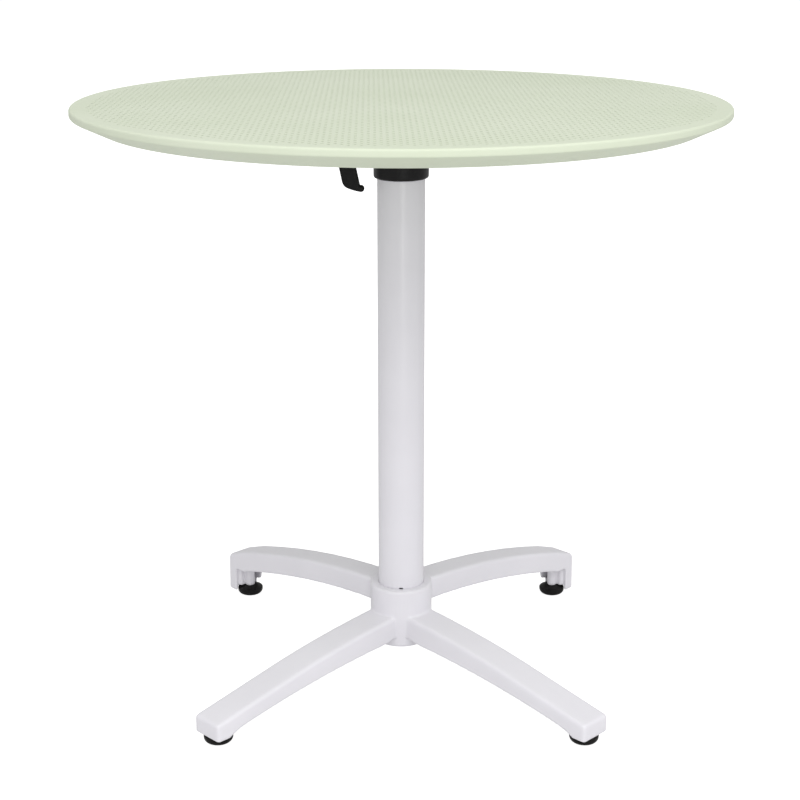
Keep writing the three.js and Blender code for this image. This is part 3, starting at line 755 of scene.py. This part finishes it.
def foot_glide(node):
    """A swivel glide: a thick nylon button with a soft lower edge and a neck under the boss."""
    radius = half_width(node)
    height = span(node, "Z")[1]
    button_r = half_width(node.replace("glide", "stud")) + GAP
    button_low = span(node.replace("glide", "stud"), "Z")[0] - GAP
    button_high = STUD_BUTTON_TOP + GAP
    section = [
        (0, 0),
        (radius - GLIDE_FOOT, 0),
        *arc(radius - GLIDE_EDGE, GLIDE_EDGE, GLIDE_EDGE, -75, 0),
        (radius, GLIDE_LIP["z"]),
        *arc(radius - GLIDE_LIP["r"], GLIDE_LIP["centre"], GLIDE_LIP["r"], 0, 70, 5),
        (GLIDE_SHOULDER_R, height),
        (GLIDE_NECK_R, height),
        (GLIDE_NECK_R, button_high),
        (button_r, button_high),
        (button_r, button_low),
        (0, button_low),
    ]
    return turned(node, section, FINE_ROUND)


def foot_stud(node):
    """A levelling screw with a riveted button that the glide turns on."""
    low, high = span(node, "Z")
    button = half_width(node)
    tip = 0.8 * MM
    edge = 0.4 * MM
    rows = [(0, low), (button - edge, low), (button, low + edge), (button, STUD_BUTTON_TOP - edge)]
    rows += [(button - edge, STUD_BUTTON_TOP), (STUD_R, STUD_BUTTON_TOP)]
    rows += thread_rows(STUD_R, STUD_BUTTON_TOP + 0.5 * MM, high - tip, STUD_PITCH)
    rows += [(STUD_R - tip, high), (0, high)]
    return turned(node, rows, SMALL_ROUND)


# ---- head and lever fittings ----
def tilt_bush(node):
    """A flanged sleeve on the tilt pin; the flange is at the outer end."""
    sign = -1 if node.endswith("left") else 1
    ends = sorted(span(node, "X"), key=abs)
    inner = half_width("tilt_pin", "Z") + GAP
    flange = half_width(node, "Z")
    step = ends[1] - sign * BUSH_FLANGE
    sleeve = [(inner, ends[0]), (BUSH_SLEEVE_R, ends[0]), (BUSH_SLEEVE_R, step)]
    section = [*sleeve, (flange, step), (flange, ends[1]), (inner, ends[1])]
    return turned(node, rounded(section, 0.25 * MM), FINE_ROUND, "X")


def tilt_pin():
    low, high = span("tilt_pin", "X")
    radius = half_width("tilt_pin", "Z")
    outline = [(0, low), (radius, low), (radius, high), (0, high)]
    return turned("tilt_pin", rounded(outline, 0.8 * MM), FINE_ROUND, "X")


def lever_pin():
    low, high = span("lever_pin", "Y")
    head_r = half_width("lever_pin", "Z")
    head = LEVER_PIN_HEAD
    shank = head_r - head
    section = [
        (0, low),
        (shank - 0.5 * MM, low),
        (head_r, low + 0.4 * head),
        (head_r, low + head),
        (shank, low + head),
        (shank, high - head),
        (head_r, high - head),
        (head_r, high - 0.4 * head),
        (shank - 0.5 * MM, high),
        (0, high),
    ]
    return turned("lever_pin", rounded(section, 0.4 * MM), SMALL_ROUND, "Y")


def rest_buffer(node):
    low, high = span(node, "Z")
    radius = half_width(node)
    rise = high - low
    dome = arc(radius - rise * 0.8, low + rise * 0.2, rise * 0.8, 0, 80)
    section = [(0, low), (radius, low), *dome, (0, high)]
    return turned(node, section, SMALL_ROUND)


def plate_screw(node):
    """A pan-head screw driven up into the top, with a hexagon socket and a coarse thread."""
    low, high = span(node, "Z")
    head_r = half_width(node)
    seat = low + SCREW_HEAD
    edge = SCREW_HEAD_EDGE
    rows = [(0, low), *arc(head_r - edge, low + edge, edge, -90, 0), (head_r, seat), (SCREW_R, seat)]
    rows += thread_rows(SCREW_R, seat + 0.4 * MM, high - 1.4 * MM, SCREW_PITCH)
    rows += [(0.6 * MM, high), (0, high)]
    piece = turned(node, rows, SMALL_ROUND)
    place = centre_line(node, "Z")
    socket = polygon(6, SOCKET["flats"] / math.sqrt(3), SOCKET["turn"])
    bm = bmesh.new()
    add_prism(bm, socket, low - 1 * MM, low + SOCKET["depth"])
    bmesh.ops.translate(bm, vec=place, verts=bm.verts)
    return boolean(piece, piece_of("socket", mesh_of("socket", bm)), "DIFFERENCE")


def lever_spring():
    """The return spring as a round wire with a closed coil at each end."""
    low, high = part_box("lever_spring")
    centre = (low + high) / 2
    wire = SPRING_WIRE_R
    radius = (high.x - low.x) / 2 - wire
    height = high.z - low.z - 2 * wire
    steps = SPRING_TURNS * STEPS_PER_COIL
    bm = bmesh.new()
    rings = []
    for i in range(steps + 1):
        t = i / steps
        angle = 2 * math.pi * SPRING_TURNS * t
        climb = min(max((t - SPRING_CLOSED) / (1 - 2 * SPRING_CLOSED), 0), 1)
        rise = height * ((1 - CLOSED_PITCH) * climb + CLOSED_PITCH * t)
        spoke = Vector((math.cos(angle), math.sin(angle), 0))
        middle = Vector((centre.x, centre.y, low.z + wire + rise)) + spoke * radius
        ring = [middle + x * spoke + z * Vector((0, 0, 1)) for x, z in polygon(WIRE_SIDES, wire)]
        rings.append([bm.verts.new(spot) for spot in ring])
    for first, second in zip(rings, rings[1:]):
        for k in range(WIRE_SIDES):
            n = (k + 1) % WIRE_SIDES
            bm.faces.new([first[k], first[n], second[n], second[k]])
    bm.faces.new(rings[0][::-1])
    bm.faces.new(rings[-1])
    return piece_of("lever_spring.shape", mesh_of("lever_spring", bm))


# ---- assembly ----
def assemble():
    top = stand_for("table_top", table_top(), GREEN)
    # the second material paints shade into the dimples
    top.data.materials.append(DIMPLE_PAINTED_SHADE)
    stand_for("base_casting", base_casting(), WHITE)
    stand_for("column_tube", column_tube(), COLUMN)
    stand_for("column_head", column_head(), BLACK)
    stand_for("top_plate", top_plate(), BLACK)
    stand_for("latch_lever", cast_copy("latch_lever", **LEVER_CAST), NYLON)
    stand_for("tie_rod", tie_rod(), ZINC)
    for end in ["lower", "upper"]:
        stand_for(f"tie_rod_washer_{end}", washer(f"tie_rod_washer_{end}"), ZINC)
        stand_for(f"tie_rod_nut_{end}", nut(f"tie_rod_nut_{end}"), ZINC)
    for side in SIDES:
        stand_for(f"tilt_bush_{side}", tilt_bush(f"tilt_bush_{side}"), WHITE_NYLON)
        stand_for(f"rest_buffer_{side}", rest_buffer(f"rest_buffer_{side}"), RUBBER)
        clip = frame["nodes"][f"tilt_pin_clip_{side}"]
        dress(clip, ZINC)
    stand_for("tilt_pin", tilt_pin(), ZINC)
    stand_for("lever_pin", lever_pin(), ZINC)
    for i in range(8):
        stand_for(f"plate_screw_{i + 1}", plate_screw(f"plate_screw_{i + 1}"), ZINC)
    for corner in CORNERS:
        stand_for(f"foot_glide_{corner}", foot_glide(f"foot_glide_{corner}"), NYLON)
        stand_for(f"foot_stud_{corner}", foot_stud(f"foot_stud_{corner}"), ZINC)
    spring = stand_for("lever_spring", lever_spring(), ZINC)
    anchor = (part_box("lever_spring")[0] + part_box("lever_spring")[1]) / 2
    anchor.z = span("lever_spring", "Z")[1]
    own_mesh(spring)


# ---- studio ----
def seen_or_lit(tree, seen, lit):
    """A strength that is seen where it is looked at, and lit where it lights other things."""
    path = tree.nodes.new("ShaderNodeLightPath")
    level = tree.nodes.new("ShaderNodeMix")
    level.inputs["B"].default_value = seen
    tree.links.new(path.outputs["Is Camera Ray"], level.inputs["Factor"])
    if isinstance(lit, bpy.types.NodeSocket):
        tree.links.new(lit, level.inputs["A"])
    else:
        level.inputs["A"].default_value = lit
    return level.outputs["Result"]


def sky():
    """A white surround that is brighter in front of the table and above it than behind it."""
    world = bpy.data.worlds.new("studio")
    world.use_nodes = True
    tree = world.node_tree
    place = tree.nodes.new("ShaderNodeTexCoord")
    facing = tree.nodes.new("ShaderNodeVectorMath")
    facing.operation = "DOT_PRODUCT"
    facing.inputs[1].default_value = Vector(SKY_BRIGHT_SIDE).normalized()
    tree.links.new(place.outputs["Generated"], facing.inputs[0])
    level = tree.nodes.new("ShaderNodeMapRange")
    level.inputs["From Min"].default_value = -1.0
    level.inputs["To Min"].default_value = SKY_BACK
    level.inputs["To Max"].default_value = SKY_FRONT
    tree.links.new(facing.outputs["Value"], level.inputs["Value"])
    background = tree.nodes["Background"]
    background.inputs["Color"].default_value = (1.0, 1.0, 1.0, 1.0)
    tree.links.new(seen_or_lit(tree, SKY_SEEN, level.outputs["Result"]), background.inputs["Strength"])
    bpy.context.scene.world = world


def floor():
    bm = bmesh.new()
    bmesh.ops.create_grid(bm, x_segments=8, y_segments=8, size=FLOOR_HALF)
    made = piece_of("studio_floor", mesh_of("studio_floor", bm))
    finish = Finish("studio_floor", Base_Color=(0.55, 0.55, 0.55, 1.0), Emission_Color=(1.0, 1.0, 1.0, 1.0))
    glow = seen_or_lit(finish.tree, FLOOR_SEEN, FLOOR_GLOW)
    finish.tree.links.new(glow, finish.shader.inputs["Emission Strength"])
    finish.roughness(finish.noise(3), 0.8, 0.9)
    dress(made, finish.material)


def soft_light(name, place, target, size, power):
    light = bpy.data.lights.new(name, "AREA")
    light.shape = "RECTANGLE"
    light.size, light.size_y = size
    light.energy = power
    lamp = piece_of(name, light)
    lamp.location = place
    aim = Vector(target) - Vector(place)
    lamp.rotation_euler = aim.to_track_quat("-Z", "Y").to_euler()


def studio():
    bpy.context.scene.view_settings.view_transform = "Standard"
    sky()
    soft_light("key", **KEY)
    soft_light("front", **FRONT)
    floor()


def camera():
    made = bpy.data.cameras.new("camera")
    made.lens = CAMERA_LENS
    made.sensor_width = CAMERA_SENSOR
    view = piece_of("camera", made)
    view.location = CAMERA_PLACE
    view.rotation_euler = (math.radians(CAMERA_PITCH), 0, 0)
    bpy.context.scene.camera = view


camera()
studio()
assemble()
